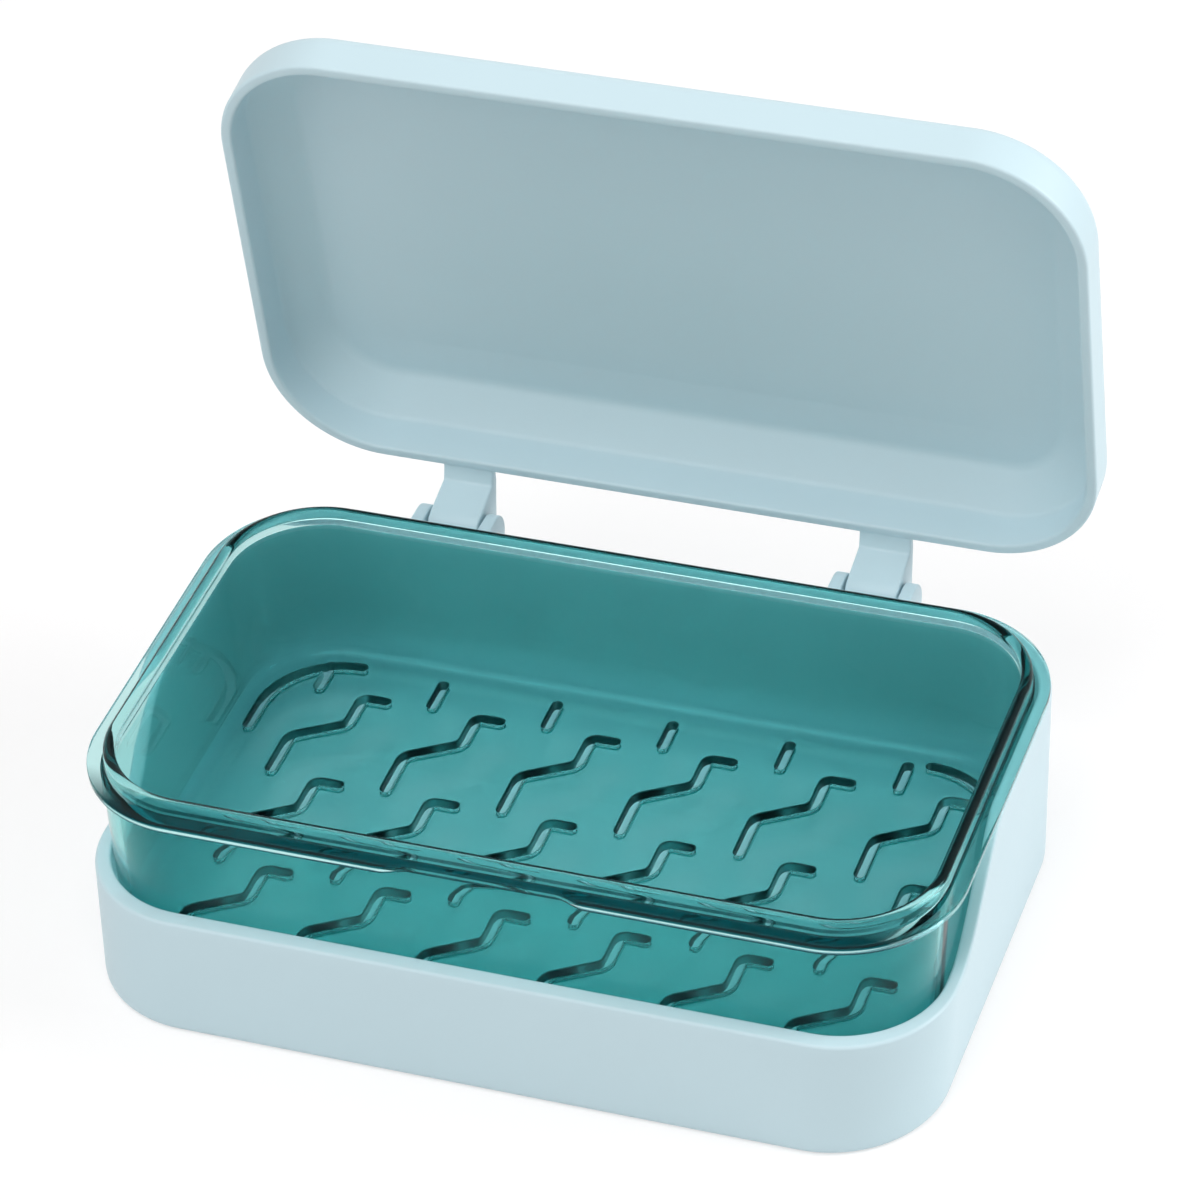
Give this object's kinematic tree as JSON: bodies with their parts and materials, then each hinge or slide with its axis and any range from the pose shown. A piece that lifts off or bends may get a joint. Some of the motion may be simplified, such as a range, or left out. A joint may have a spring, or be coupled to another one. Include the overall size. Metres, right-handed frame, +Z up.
{
  "type": "travel soap box",
  "caption": "Hinged travel soap box: a tub with a swooping rim, a lift-out translucent drain tray with zigzag slots, and a lid on two goose-neck arms.",
  "frame": {"origin": "centre of the flat underside of the case, on the surface it stands on", "axes": "+X along the long side, to the right seen from the front; +Y towards the hinges at the back; +Z up"},
  "size_m": [0.13, 0.1056, 0.1121],
  "materials": {
    "case_blue": "satin",
    "tray_teal": "clear tinted plastic",
    "pin_steel": "drawn wire"
  },
  "bodies": {
    "base": {"case": "case_blue", "drain_tray": "tray_teal", "hinge_pin_left": "pin_steel", "hinge_pin_right": "pin_steel"},
    "lid": {"lid": "case_blue"}
  },
  "joints": [
    {"name": "lid_hinge", "type": "hinge", "parent": "base", "child": "lid", "pos_m": [0, 0.0453, 0.0274], "axis": [-1, 0, 0], "range_deg": [-82, 18]}
  ]
}
